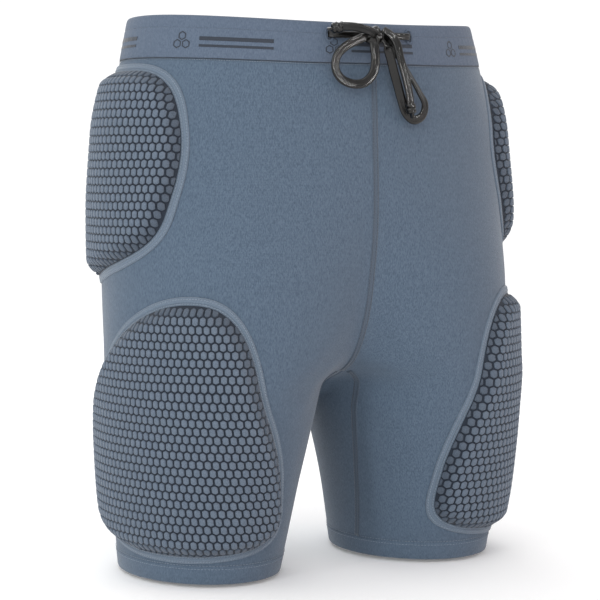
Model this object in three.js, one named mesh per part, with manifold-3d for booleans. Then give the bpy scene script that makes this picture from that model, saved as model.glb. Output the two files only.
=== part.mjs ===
import * as THREE from "three";
import Module from "manifold-3d";

// Padded impact shorts, shown as they stand when worn. Millimetres, +Z up.
// The front faces -Y, the wearer's left is +X. Z = 0 is the plane of the waist opening.
// Heights (h) are counted up from the hems, so Z = h - LENGTH.

// Driving dimensions
const LENGTH = 430;            // hem to waist rim at the sides
const CROTCH_ROUND = 14;       // how softly the two halves run together at the centre
const RIM_DIP = 7;             // how far the rim drops at the centre front
const CLOTH = 3;               // main fabric with its give
const HEM_TALL = 14;
const BAND_BOTTOM = 398;       // waistband's lower seam
const LACE_HEIGHT = 420;       // drawcord tunnel centre line
const PAD_RISE = 12.5;         // outer face of a pad cover above the cloth
const PAD_GAP = 2;             // cloth to pad, clear of the weave
const EDGE_STRIP = 6.5;        // flat strip sewn around each pad
const BUTTONHOLE_X = 35;
const LACE_WIDE = 7;
const LACE_THICK = 2.2;

// Outline of one half by height: furthest out, furthest in, half depth and middle of the depth
const OUTER = [[0, 158], [60, 164], [120, 167], [175, 169], [230, 170], [280, 170], [340, 167], [400, 153], [430, 146]];
const INNER = [[0, 39], [60, 29], [120, 16], [145, 11], [165, -9], [185, -24], [205, -36], [235, -52], [280, -97], [340, -150], [430, -150]];
const DEPTH = [[0, 77], [60, 86], [120, 96], [175, 105], [230, 111], [280, 110], [340, 108], [400, 108], [430, 106]];
const MIDDLE = [[0, -1], [60, -5], [120, -6], [175, -5], [230, -3], [280, -1], [340, 0], [400, 3], [430, 5]];

// Hip hinge: the line the legs swing about, and the fold that parts leg from body
const HINGE_Y = -10;
const HINGE_H = 270;
const FOLD_RADIUS = 150;
const FOLD_REACH = 190;
const FOLD_GAP = 2.4;          // leg side of the fold, clear of the body side as it swings

const NAVY = 0x39434f;
const SLATE = 0x617084;
const PALE = 0x71819a;
const BLACK = 0x23231f;
const FOAM = 0x2f3438;

const V = (x, y, z) => new THREE.Vector3(x, y, z);
const group = new THREE.Group();

// Smooth monotone curve through the given levels
function curve(levels) {
  const n = levels.length;
  const step = i => (levels[i + 1][1] - levels[i][1]) / (levels[i + 1][0] - levels[i][0]);
  const slope = levels.map((_, i) => {
    if (i === 0) return step(0);
    if (i === n - 1) return step(n - 2);
    const a = step(i - 1), b = step(i);
    return a * b <= 0 ? 0 : 2 * a * b / (a + b);
  });
  return h => {
    const x = Math.min(Math.max(h, levels[0][0]), levels[n - 1][0]);
    let i = 0;
    while (i < n - 2 && x > levels[i + 1][0]) i++;
    const w = levels[i + 1][0] - levels[i][0];
    const t = (x - levels[i][0]) / w;
    const t2 = t * t, t3 = t2 * t;
    return levels[i][1] * (2 * t3 - 3 * t2 + 1) + slope[i] * w * (t3 - 2 * t2 + t)
      + levels[i + 1][1] * (3 * t2 - 2 * t3) + slope[i + 1] * w * (t3 - t2);
  };
}
const outer = curve(OUTER), inner = curve(INNER), depth = curve(DEPTH), middle = curve(MIDDLE);

function section(h) {
  const o = outer(h), i = inner(h);
  return { cx: (o + i) / 2, rx: (o - i) / 2, cy: middle(h), ry: depth(h) };
}

// Widest angle at a height: the whole circle on a leg, up to the centre line above the crotch
function span(h, edge = 0.4) {
  const { cx, rx } = section(h);
  const c = (Math.hypot(CROTCH_ROUND, edge) - cx) / rx;
  return c <= -1 ? Math.PI : Math.acos(c);
}

function level(x, y, h) {
  const { cx, rx, cy, ry } = section(h);
  return ((Math.hypot(x, CROTCH_ROUND) - cx) / rx) ** 2 + ((y - cy) / ry) ** 2;
}

// Point on one half. angle 0 is the outermost line, negative runs to the front; out is along the normal
function place(side, h, angle, out = 0, flat = false) {
  const { cx, rx, cy, ry } = section(h);
  const s = cx + rx * Math.cos(angle);
  const x = Math.sqrt(Math.max(s * s - CROTCH_ROUND ** 2, 0));
  const y = cy + ry * Math.sin(angle);
  const normal = V(2 * (s - cx) / rx ** 2 * x / s, 2 * (y - cy) / ry ** 2,
    flat ? 0 : (level(x, y, h + 0.05) - level(x, y, h - 0.05)) / 0.1).normalize();
  const front = Math.min(1, Math.max(0, -y / 100));
  const dip = RIM_DIP * Math.max(0, (h - 330) / 100) * front * front;
  return V(side * (x + normal.x * out), y + normal.y * out, h - dip + normal.z * out - LENGTH);
}

// Angle reached by walking an arc length round from the outermost line
function walk(h, arc) {
  const { rx, ry } = section(h);
  const way = Math.sign(arc) || 1;
  let angle = 0, gone = 0;
  const step = 0.01;
  while (gone < Math.abs(arc) && angle < Math.PI) {
    gone += step * Math.hypot(rx * Math.sin(angle + step / 2), ry * Math.cos(angle + step / 2));
    angle += step;
  }
  const last = Math.hypot(rx * Math.sin(angle), ry * Math.cos(angle));
  return way * (angle - (gone - Math.abs(arc)) / last);
}
const onSide = (side, arc, h, out) => place(side, h, walk(h, arc), out);

// Point on the back (way 1) or front (way -1) at a distance across from the centre line
function across(way, x, h, out, flat = false) {
  const { cx, rx } = section(h);
  const c = Math.min(1, Math.max(-1, (Math.hypot(x, CROTCH_ROUND) - cx) / rx));
  return place(x < 0 ? -1 : 1, h, way * Math.acos(c), out, flat);
}

function finish(name, geometry, color) {
  const position = geometry.getAttribute("position");
  const index = geometry.index;
  let volume = 0;
  const at = i => V().fromBufferAttribute(position, i);
  for (let i = 0; i < index.count; i += 3) {
    volume += at(index.getX(i)).dot(at(index.getX(i + 1)).cross(at(index.getX(i + 2))));
  }
  if (volume < 0) {
    for (let i = 0; i < index.count; i += 3) {
      const keep = index.getX(i + 1);
      index.setX(i + 1, index.getX(i + 2));
      index.setX(i + 2, keep);
    }
  }
  geometry.computeVertexNormals();
  const mesh = new THREE.Mesh(geometry, new THREE.MeshStandardMaterial({ color, roughness: 0.8 }));
  mesh.name = name;
  group.add(mesh);
  return mesh;
}

// Skin over a row of equal rings, the back half of the row running over the front half. "closed" joins last ring to first; "strip" closes both ends
// across two matching halves; a pair of points closes the ends to those points.
function skin(rings, ends) {
  const n = rings[0].length;
  const points = rings.flat();
  const faces = [];
  const quad = (a, b, c, d) => faces.push(a, b, c, a, c, d);
  const last = ends === "closed" ? rings.length : rings.length - 1;
  for (let r = 0; r < last; r++) {
    const a = r * n, b = ((r + 1) % rings.length) * n;
    for (let k = 0; k < n; k++) {
      const m = (k + 1) % n;
      if (r < rings.length / 2) quad(a + k, a + m, b + m, b + k);
      else quad(a + m, b + m, b + k, a + k);
    }
  }
  if (ends === "strip") {
    const top = (rings.length - 1) * n;
    for (let k = 0; k < n / 2 - 1; k++) {
      quad(n - 1 - k, n - 2 - k, k + 1, k);
      quad(top + k, top + k + 1, top + n - 2 - k, top + n - 1 - k);
    }
  } else if (ends !== "closed") {
    const top = (rings.length - 1) * n;
    points.push(ends[0], ends[1]);
    for (let k = 0; k < n; k++) {
      faces.push(points.length - 2, (k + 1) % n, k);
      faces.push(points.length - 1, top + k, top + (k + 1) % n);
    }
  }
  const geometry = new THREE.BufferGeometry();
  geometry.setAttribute("position", new THREE.Float32BufferAttribute(points.flatMap(p => p.toArray()), 3));
  geometry.setIndex(faces);
  return geometry;
}
const solid = (name, rings, ends, color) => finish(name, skin(rings, ends), color);
const range = (n, f) => Array.from({ length: n }, (_, i) => f(i));
const mix = (a, b, t) => a + (b - a) * t;

// --- where a leg parts from the body -------------------------------------------------------------
function inLeg(p) {
  const h = p.z + LENGTH;
  const reach = 1 - (p.x / FOLD_REACH) ** 2;
  const fold = FOLD_RADIUS * Math.max(reach, 0) ** 0.75;
  return Math.hypot(p.y - HINGE_Y, h - HINGE_H) > fold
    && (p.y < HINGE_Y || h < 225 - 0.7 * Math.max(p.y, 0));
}
function foldHeight(turn, out) {
  let h = 100;
  while (inLeg(place(1, h + 1, turn * span(h + 1), out))) h++;
  let low = h, high = h + 1;
  while (high - low > 0.01) {
    const mid = (low + high) / 2;
    if (inLeg(place(1, mid, turn * span(mid), out))) low = mid; else high = mid;
  }
  return high;
}

const saddle = (() => {
  let low = 60, high = 200;
  while (high - low > 0.001) {
    const mid = (low + high) / 2;
    if (inner(mid) > CROTCH_ROUND) low = mid; else high = mid;
  }
  return high;
})();

const COLUMNS = 26;
const ROWS = 9;
for (const [side, name] of [[-1, "right"], [1, "left"]]) {
  // body panel: waistband seam down to the fold, from centre front round to centre back
  const columns = range(COLUMNS + 1, c => {
    const turn = -1 + 2 * c / COLUMNS;
    const wall = out => {
      const low = Math.max(foldHeight(turn, out) + FOLD_GAP, saddle + 0.02);
      return range(ROWS + 1, r => mix(low, BAND_BOTTOM - 0.6, (r / ROWS) ** 1.7))
        .map(h => place(side, h, turn * span(h), out));
    };
    return [...wall(0), ...wall(-CLOTH).reverse()];
  });
  solid(`${name}_body_panel`, columns, "strip", SLATE);

  // leg panel: a tube from the hem up to the fold
  const low = HEM_TALL + 0.6;
  const wall = (r, out) => range(COLUMNS, c => {
    const turn = -1 + 2 * c / COLUMNS;
    const fold = foldHeight(turn, out) - FOLD_GAP;
    const full = Math.abs(turn) > 0.84 ? Math.min(fold, saddle - 5) : fold;
    const h = mix(low, full, 1 - (1 - r / 8) ** 1.4);
    return place(side, h, turn * span(h), out);
  });
  solid(`${name}_leg_panel`, [...range(9, r => wall(r, 0)), ...range(9, r => wall(8 - r, -CLOTH))],
    "closed", SLATE);

  // turned-up hem with a flat lower edge
  const hem = (h, out) => range(COLUMNS, c => place(side, h, (-1 + 2 * c / COLUMNS) * Math.PI, out, true));
  solid(`${name}_hem_band`, [hem(0, 0.3), hem(HEM_TALL / 2, 0.3), hem(HEM_TALL, 0.3),
    hem(HEM_TALL, -3.2), hem(HEM_TALL / 2, -3.2), hem(0, -3.2)], "closed", SLATE);

  // inseam: a raised strip on the inner front of the leg
  const turned = h => -THREE.MathUtils.degToRad(mix(166, 154, h / saddle));
  solid(`${name}_inseam`, range(13, r => {
    const h = mix(HEM_TALL + 2, saddle - 9, r / 12);
    const wide = 2.5 / section(h).rx;
    return [[-wide, 0.9], [wide, 0.9], [wide, 1.8], [-wide, 1.8]]
      .map(([a, out]) => place(side, h, turned(h) + a, out));
  }), "strip", SLATE);
}

// --- centre seams --------------------------------------------------------------------------------
function centreSeam(name, way) {
  solid(name, range(17, r => {
    const h = mix(saddle + 3.5, BAND_BOTTOM - 1, (r / 16) ** 1.7);
    return [[-3, 1.5], [3, 1.5], [3, 2.3], [-3, 2.3]].map(([x, out]) => across(way, x, h, out));
  }), "strip", SLATE);
}
centreSeam("centre_front_seam", -1);
centreSeam("centre_back_seam", 1);

// --- waistband -----------------------------------------------------------------------------------
const BAND_COLUMNS = 28;
function bandRing(h, out) {
  const half = range(BAND_COLUMNS, c => -1 + 2 * (c + 0.5) / BAND_COLUMNS);
  return [...half.map(t => place(1, h, t * span(h, 0), out, true)),
    ...half.map(t => place(-1, h, -t * span(h, 0), out, true))];
}
const wasm = await Module();
wasm.setup();
function toManifold(geometry) {
  return new wasm.Manifold(new wasm.Mesh({ numProp: 3,
    vertProperties: new Float32Array(geometry.getAttribute("position").array),
    triVerts: new Uint32Array(geometry.index.array) }));
}
function fromManifold(shape) {
  const mesh = shape.getMesh();
  const geometry = new THREE.BufferGeometry();
  geometry.setAttribute("position", new THREE.Float32BufferAttribute(Array.from(mesh.vertProperties), 3));
  geometry.setIndex(Array.from(mesh.triVerts));
  return geometry;
}
const outerBand = finish("waistband_outer", skin([bandRing(BAND_BOTTOM, 0), bandRing(414, 0), bandRing(LENGTH, 0),
  bandRing(LENGTH, -1.4), bandRing(414, -1.4), bandRing(BAND_BOTTOM, -1.4)], "closed"), PALE);
const frame = x => {
  const p = across(-1, x, LACE_HEIGHT, 0);
  const n = across(-1, x, LACE_HEIGHT, 1).sub(p);
  const t = V(-n.y, n.x, 0).normalize();
  return { p, n, t, up: n.clone().cross(t) };
};
let cut = toManifold(outerBand.geometry);
for (const x of [-BUTTONHOLE_X, BUTTONHOLE_X]) {
  const { p, n, t, up } = frame(x);
  const ring = out => [[-2.4, -4.8], [2.4, -4.8], [2.4, 4.8], [-2.4, 4.8]]
    .map(([a, b]) => p.clone().addScaledVector(n, out).addScaledVector(t, a).addScaledVector(up, b));
  const box = finish("slot", skin([ring(-4), ring(4)], "strip"), PALE);
  group.remove(box);
  cut = cut.subtract(toManifold(box.geometry));
}
outerBand.geometry = fromManifold(cut);
outerBand.geometry.computeVertexNormals();
solid("waistband_facing", [bandRing(BAND_BOTTOM + 0.4, -5), bandRing(414, -5), bandRing(LENGTH - 1, -5),
  bandRing(LENGTH - 1, -6.2), bandRing(414, -6.2), bandRing(BAND_BOTTOM + 0.4, -6.2)], "closed", PALE);

for (const [x, name] of [[-BUTTONHOLE_X, "right_buttonhole"], [BUTTONHOLE_X, "left_buttonhole"]]) {
  const { p, n, t, up } = frame(x);
  const oval = (a, b, out) => range(16, k => {
    const q = k * Math.PI / 8;
    return p.clone().addScaledVector(n, out).addScaledVector(t, a * Math.cos(q)).addScaledVector(up, b * Math.sin(q));
  });
  solid(name, [oval(3.2, 6.2, 0.6), oval(4.6, 7.6, 0.6), oval(4.6, 7.6, 1.4), oval(3.2, 6.2, 1.4)], "closed", NAVY);
}

// --- drawcord: flat cord swept along a path, its width held along a given direction --------------
function lace(name, points, wideAt, steps, color = BLACK) {
  const path = new THREE.CatmullRomCurve3(points, false, "centripetal");
  const rings = range(steps + 1, i => {
    const u = i / steps;
    const p = path.getPointAt(u), along = path.getTangentAt(u);
    const wide = wideAt(u, p).clone();
    wide.addScaledVector(along, -wide.dot(along)).normalize();
    const thick = along.clone().cross(wide);
    return range(8, k => {
      const q = (k + 0.5) * Math.PI / 4;
      const a = Math.cos(q) / Math.cos(Math.PI / 8), b = Math.sin(q) / Math.cos(Math.PI / 8);
      return p.clone().addScaledVector(wide, a * LACE_WIDE / 2).addScaledVector(thick, b * LACE_THICK / 2);
    });
  });
  return solid(name, rings, "strip", color);
}
const UP = V(0, 0, 1);
const tunnel = (x, out) => across(-1, x, LACE_HEIGHT, out, true);

// run hidden in the waistband's tunnel, from one buttonhole round the back to the other
const STOP = 40;
const hidden = [];
for (const side of [-1, 1]) {
  const { cx, rx } = section(LACE_HEIGHT);
  const start = -Math.acos((Math.hypot(STOP, CROTCH_ROUND) - cx) / rx);
  const stops = range(20, i => mix(start, span(LACE_HEIGHT, 0) * 0.97, i / 19));
  const half = stops.map(a => place(side, LACE_HEIGHT, a, -3.2, true));
  hidden.push(...(side < 0 ? half : half.reverse()));
}
lace("drawcord_tunnel_run", hidden, (u, p) => V(-0.25 * p.x / 150, -0.06 * p.y / 106, 1), 50);

// run in front of the waistband, out of one buttonhole, behind the knot and into the other
lace("drawcord_front_run", [tunnel(-BUTTONHOLE_X, -2.4), tunnel(-BUTTONHOLE_X + 0.4, 1.2),
  tunnel(-BUTTONHOLE_X + 3.4, 3.5), tunnel(-20, 3.8), tunnel(0, 3.6), tunnel(20, 3.8),
  tunnel(BUTTONHOLE_X - 3.4, 3.5), tunnel(BUTTONHOLE_X - 0.4, 1.2), tunnel(BUTTONHOLE_X, -2.4)], () => UP, 30);

// rounded lump from stacked ovals
function lump(name, centre, radius, color = BLACK) {
  const rings = range(5, r => {
    const q = (r + 1) * Math.PI / 6;
    return range(12, k => V(centre.x + radius.x * Math.sin(q) * Math.cos(k * Math.PI / 6),
      centre.y + radius.y * Math.sin(q) * Math.sin(k * Math.PI / 6), centre.z - radius.z * Math.cos(q)));
  });
  return solid(name, rings, [V(centre.x, centre.y, centre.z - radius.z), V(centre.x, centre.y, centre.z + radius.z)], color);
}
const KNOT = V(-4, -114.2, -17.5);
lump("drawcord_knot", KNOT, V(7.5, 5.2, 7));

const facing = () => V(0.25, -0.15, 1);
lace("bow_loop_right", [V(-12.6, -113.6, -19), V(-20, -113.4, -22), V(-30, -113, -27), V(-37, -113, -35),
  V(-38, -113, -45), V(-32, -113.4, -53.5), V(-21, -114.6, -57), V(-10, -116, -55.5), V(-2.5, -117.4, -48.5),
  V(-0.5, -118, -40), V(-2.2, -117.8, -33), V(-4.4, -117.2, -27.6)], (u, p) => V(p.x + 18, -2, p.z + 40), 28);
lace("bow_loop_left", [V(5.6, -115.6, -19.5), V(11, -117, -27), V(19, -118, -38.5), V(27, -117.4, -49),
  V(35, -116, -59.5), V(40.5, -114.6, -70), V(38.6, -114, -79), V(31, -114, -82), V(24, -114.4, -76.5),
  V(19.4, -115.2, -65), V(14.6, -116.6, -53), V(10, -118.2, -42.5), V(6.2, -119.6, -32.6), V(4.4, -120.6, -27.4)],
(u, p) => V(p.x - 27, 5, p.z + 60), 32);

// short end, held up against the band by the knot, and the long end hanging inside the left loop
lace("drawcord_end_short", [V(-9.6, -119.4, -10.4), V(-15, -121, -8.4), V(-21.4, -119.4, -8.8), V(-26, -116, -10.2),
  V(-30, -112.6, -11.6)], facing, 10);
lump("short_end_knot", V(-35.6, -111.4, -11.8), V(4.6, 4.2, 6));
lace("drawcord_end_long", [V(5.6, -119.6, -15), V(9, -124, -22), V(11.6, -125.6, -34), V(16, -125, -46),
  V(20.4, -123.6, -58), V(22.6, -122.6, -65.4)], () => V(1, 0.2, 0.3), 16);
lump("long_end_knot", V(23.2, -122, -71.4), V(4, 4, 5));

// --- pads ----------------------------------------------------------------------------------------
// An outline is given by its widest height, its reach above and below, its half width there and
// how its middle line leans; corners above and below are set by two powers each.
function outline(shape, count) {
  const dense = range(480, i => {
    const q = (i + 0.5) * 2 * Math.PI / 480;
    const up = Math.sin(q) > 0;
    const u = Math.abs(Math.sin(q));
    const h = shape.height + (up ? shape.above : -shape.below) * u;
    const [a, b] = up ? shape.top : shape.bottom;
    const reach = shape.half * (1 - u ** a) ** b;
    return new THREE.Vector2(shape.middle(h) + (Math.cos(q) > 0 ? reach + (shape.back ?? 0) * (1 - u * u) : -reach), h);
  });
  let total = 0;
  const gone = dense.map((p, i) => (total += p.distanceTo(dense[(i + 1) % 480])));
  return range(count, k => dense[gone.findIndex(g => g > total * k / count)]);
}
function pad(name, shape, spot, base = PAD_GAP) {
  const edge = outline(shape, 26);
  const cs = shape.middle(shape.height), ch = shape.height;
  const ring = (inset, share, out) => edge.map(e => {
    const far = Math.hypot(e.x - cs, e.y - ch);
    const k = (1 - inset / far) * share;
    return spot(cs + (e.x - cs) * k, ch + (e.y - ch) * k, out);
  });
  const rings = list => list.map(([inset, share, out]) => ring(EDGE_STRIP + inset, share, out));
  const top = PAD_RISE - 1.3;
  const spread = [0.42, 0.8], back = [0.8, 0.54, 0.27];
  // foam insert: back following the cloth, domed front with a steep bevel
  solid(`${name}_foam`, rings([...spread.map(k => [3, k, top - 0.5]), [3, 0.95, top - 2.9], [3, 1, base + 1.6],
    [3, 1, base], ...back.map(k => [3, k, base])]),
  [spot(cs, ch, top - 0.5), spot(cs, ch, base)], FOAM);
  // moulded honeycomb cover over the foam
  const under = [...spread.map(k => [3, k, top]), [2.6, 0.955, top - 2.4], [2, 1, base + 1.9], [2, 1, base]];
  const face = [...spread.map(k => [3, k, top + 1.3]), [1.6, 0.965, top - 0.8], [0.6, 1, base + 2.2], [0.6, 1, base]];
  solid(`${name}_cover`, rings([...face, ...under.toReversed()]),
    [spot(cs, ch, top + 1.3), spot(cs, ch, top)], NAVY);
  // flat strip stitched down around it
  solid(`${name}_edge_strip`, [ring(0, 1, base), ring(0, 1, base + 1.1), ring(EDGE_STRIP, 1, base + 1.1),
    ring(EDGE_STRIP, 1, base)], "closed", PALE);
}

const HIP = { height: 298, above: 95, below: 74.5, half: 89, top: [1.65, 0.26], bottom: [4.5, 1.2],
  middle: h => 2.8 + 40 * Math.max(0, (393 - h) / 181) ** 1.7 };
const THIGH = { height: 80, above: 139, below: 63.4, half: 94.7, back: 24, top: [1.47, 0.44], bottom: [5.15, 0.49],
  middle: h => -56.8 - 26.7 * Math.max(0, (h - 130) / 90) ** 1.5 };
const TAIL = { height: 318, above: 56, below: 70, half: 50, top: [3, 0.5], bottom: [2.2, 0.8], middle: () => 0 };

for (const [side, name] of [[-1, "right"], [1, "left"]]) {
  pad(`${name}_hip`, HIP, (s, h, out) => onSide(side, s, h, out));
  pad(`${name}_thigh`, THIGH, (s, h, out) => onSide(side, s, h, out));
}
pad("tailbone", TAIL, (s, h, out) => across(1, s, h, out), 3.4);

// --- care label inside the centre back, blank ----------------------------------------------------
solid("care_label", range(6, r => {
  const h = mix(362, 412, r / 5);
  return [...range(5, c => across(1, -15 + 7.5 * c, h, -7.4)), ...range(5, c => across(1, 15 - 7.5 * c, h, -8.1))];
}), "strip", 0xd9dadb);

export default group;
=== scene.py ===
import math

import bmesh
import bpy
import numpy as np
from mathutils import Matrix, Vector


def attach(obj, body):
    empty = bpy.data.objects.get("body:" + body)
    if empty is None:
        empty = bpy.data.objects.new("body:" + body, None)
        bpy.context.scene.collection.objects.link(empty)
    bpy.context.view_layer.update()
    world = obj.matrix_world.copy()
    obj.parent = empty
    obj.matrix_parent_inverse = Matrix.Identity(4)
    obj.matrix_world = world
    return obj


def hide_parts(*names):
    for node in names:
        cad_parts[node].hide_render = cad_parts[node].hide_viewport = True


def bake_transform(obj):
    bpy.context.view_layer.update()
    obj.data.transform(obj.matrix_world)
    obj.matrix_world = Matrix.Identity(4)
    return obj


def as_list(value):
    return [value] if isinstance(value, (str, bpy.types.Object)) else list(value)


# Padded impact shorts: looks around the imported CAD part. Lengths here are in
# millimetres and heights h are counted up from the hems; build() turns them into metres.
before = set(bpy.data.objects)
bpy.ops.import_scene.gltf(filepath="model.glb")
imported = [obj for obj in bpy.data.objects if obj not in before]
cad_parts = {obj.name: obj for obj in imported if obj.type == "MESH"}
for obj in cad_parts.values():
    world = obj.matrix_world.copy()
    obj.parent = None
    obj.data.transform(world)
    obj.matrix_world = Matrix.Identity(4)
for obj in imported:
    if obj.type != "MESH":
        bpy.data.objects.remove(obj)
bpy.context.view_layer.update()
MM = 0.001

# --- camera ---


def look(obj, eye, aim):
    """Puts a camera or a light in the scene, facing a point."""
    obj.location = eye
    obj.rotation_mode = "QUATERNION"
    obj.rotation_quaternion = (Vector(aim) - Vector(eye)).to_track_quat("-Z", "Y")
    bpy.context.scene.collection.objects.link(obj)


camera = bpy.data.objects.new("camera", bpy.data.cameras.new("camera"))
camera.data.lens = 116.4
camera.data.sensor_width = 36
look(camera, (-0.7647, -1.3659, -0.1127), (-0.0035, 0.0020, -0.2228))
bpy.context.scene.camera = camera

# --- the shape of the shorts, as in the CAD source ---
LENGTH = 430
CROTCH_ROUND = 14
RIM_DIP = 7
LACE_HEIGHT = 420
EDGE_STRIP = 6.5
BUTTONHOLE_X = 35
LACE_THICK = 2.2

OUTER = [[0, 158], [60, 164], [120, 167], [175, 169], [230, 170], [280, 170],
         [340, 167], [400, 153], [430, 146]]
INNER = [[0, 39], [60, 29], [120, 16], [145, 11], [165, -9], [185, -24], [205, -36], [235, -52],
         [280, -97], [340, -150], [430, -150]]
DEPTH = [[0, 77], [60, 86], [120, 96], [175, 105], [230, 111], [280, 110],
         [340, 108], [400, 108], [430, 106]]
MIDDLE = [[0, -1], [60, -5], [120, -6], [175, -5], [230, -3], [280, -1],
          [340, 0], [400, 3], [430, 5]]


def curve(levels):
    """Smooth monotone curve through the given levels."""
    xs, ys = np.array(levels, float).T
    step = np.diff(ys) / np.diff(xs)
    a, b = step[:-1], step[1:]
    both = np.where(a * b <= 0, 1.0, a + b)
    slope = np.concatenate([[step[0]], np.where(a * b <= 0, 0, 2 * a * b / both), [step[-1]]])

    def at(h):
        h = np.clip(h, xs[0], xs[-1])
        i = np.clip(np.searchsorted(xs, h, side="right") - 1, 0, len(xs) - 2)
        w = xs[i + 1] - xs[i]
        t = (h - xs[i]) / w
        t2, t3 = t * t, t * t * t
        return (ys[i] * (2 * t3 - 3 * t2 + 1) + slope[i] * w * (t3 - 2 * t2 + t)
                + ys[i + 1] * (3 * t2 - 2 * t3) + slope[i + 1] * w * (t3 - t2))
    return at


outer, inner, depth, middle = curve(OUTER), curve(INNER), curve(DEPTH), curve(MIDDLE)


def section(h):
    o, i = outer(h), inner(h)
    return (o + i) / 2, (o - i) / 2, middle(h), depth(h)


def span(h):
    """Widest angle at a height: all round a leg, up to the centre line above it."""
    cx, rx, _, _ = section(h)
    return np.arccos(np.clip((CROTCH_ROUND - cx) / rx, -1, 1))


def level(x, y, h):
    cx, rx, cy, ry = section(h)
    return ((np.hypot(x, CROTCH_ROUND) - cx) / rx) ** 2 + ((y - cy) / ry) ** 2


def place(side, h, angle, out=0.0, flat=False):
    """Points on one half. angle 0 is the outermost line, negative runs to the front."""
    h, angle, out, side = np.broadcast_arrays(*(np.asarray(v, float) for v in (h, angle, out, side)))
    cx, rx, cy, ry = section(h)
    s = cx + rx * np.cos(angle)
    x = np.sqrt(np.maximum(s * s - CROTCH_ROUND ** 2, 0))
    y = cy + ry * np.sin(angle)
    n = np.stack([2 * (s - cx) / rx ** 2 * x / s, 2 * (y - cy) / ry ** 2,
                  np.zeros_like(x) if flat else (level(x, y, h + 0.05) - level(x, y, h - 0.05)) / 0.1], -1)
    n /= np.linalg.norm(n, axis=-1, keepdims=True)
    front = np.clip(-y / 100, 0, 1)
    z = h - RIM_DIP * np.maximum(0, (h - 330) / 100) * front ** 2 - LENGTH
    p = np.stack([x, y, z], -1) + n * out[..., None]
    p[..., 0] *= side
    return p


ARC_ROW = 2.0            # height between the rows of the table of arcs


def arc_table():
    """Angle reached by walking an arc length, in whole millimetres, round from the outermost line."""
    a = np.linspace(0, math.pi, 800)
    mid = (a[1:] + a[:-1]) / 2
    rows = []
    for h in np.arange(0, LENGTH + 1, ARC_ROW):
        _, rx, _, ry = section(h)
        gone = np.concatenate([[0], np.cumsum(np.hypot(rx * np.sin(mid), ry * np.cos(mid)))]) * (a[1] - a[0])
        rows.append(np.interp(np.arange(301), gone, a))
    return np.array(rows)


ARCS = arc_table()


def lookup(table, u, v):
    """Value between the points of a table at fractional row u and column v."""
    u, v = np.clip(u, 0, table.shape[0] - 1.001), np.clip(v, 0, table.shape[1] - 1.001)
    i, j = u.astype(int), v.astype(int)
    f, g = u - i, v - j
    return ((table[i, j] * (1 - g) + table[i, j + 1] * g) * (1 - f)
            + (table[i + 1, j] * (1 - g) + table[i + 1, j + 1] * g) * f)


def walk(h, arc):
    """Angle on one half at an arc length from its outermost line."""
    return np.sign(arc) * lookup(ARCS, np.asarray(h, float) / ARC_ROW, np.abs(arc))


def across(way, x, h, out=0.0, flat=False):
    """Points on the back (way 1) or front (way -1), a distance across from the centre line."""
    x, h = np.broadcast_arrays(np.asarray(x, float), np.asarray(h, float))
    cx, rx, _, _ = section(h)
    c = np.clip((np.hypot(x, CROTCH_ROUND) - cx) / rx, -1, 1)
    return place(np.where(x < 0, -1, 1), h, way * np.arccos(c), out, flat)


def level_saddle():
    """Height of the crotch, where the two halves first meet."""
    low, high = 60.0, 200.0
    while high - low > 1e-4:
        mid = (low + high) / 2
        low, high = (mid, high) if inner(mid) > CROTCH_ROUND else (low, mid)
    return high


SADDLE = level_saddle()

# --- mesh tools ---


def turns(count):
    """Angles evenly spaced round a circle."""
    return np.linspace(0, 2 * math.pi, count, endpoint=False)


def unit(v):
    return v / np.maximum(np.linalg.norm(v, axis=-1, keepdims=True), 1e-12)


def headings(line, closed=False):
    """Unit direction of travel at each point of a line."""
    return unit(np.roll(line, -1, 0) - np.roll(line, 1, 0) if closed else np.gradient(line, axis=0))


def travelled(line):
    """Distance gone along a line at each of its points."""
    return np.concatenate([[0], np.cumsum(np.linalg.norm(np.diff(line, axis=0), axis=1))])


def oval(centre, a, b, count):
    t = turns(count)
    return centre + np.outer(np.cos(t), a) + np.outer(np.sin(t), b)


def grid_faces(rows, cols, wrap_rows=False, wrap_cols=False):
    r = np.arange(rows if wrap_rows else rows - 1)[:, None]
    c = np.arange(cols if wrap_cols else cols - 1)[None, :]
    r2, c2 = (r + 1) % rows, (c + 1) % cols
    return np.stack([r * cols + c, r * cols + c2, r2 * cols + c2, r2 * cols + c], -1).reshape(-1, 4)


def outward(points, quads, tris):
    """A closed body with its faces turned outward."""
    t = np.concatenate([tris, quads[:, [0, 1, 2]], quads[:, [0, 2, 3]]])
    a, b, c = (points[t[:, k]] for k in range(3))
    step = -1 if (a * np.cross(b, c)).sum() < 0 else 1
    return points, quads[:, ::step], tris[:, ::step]


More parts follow.
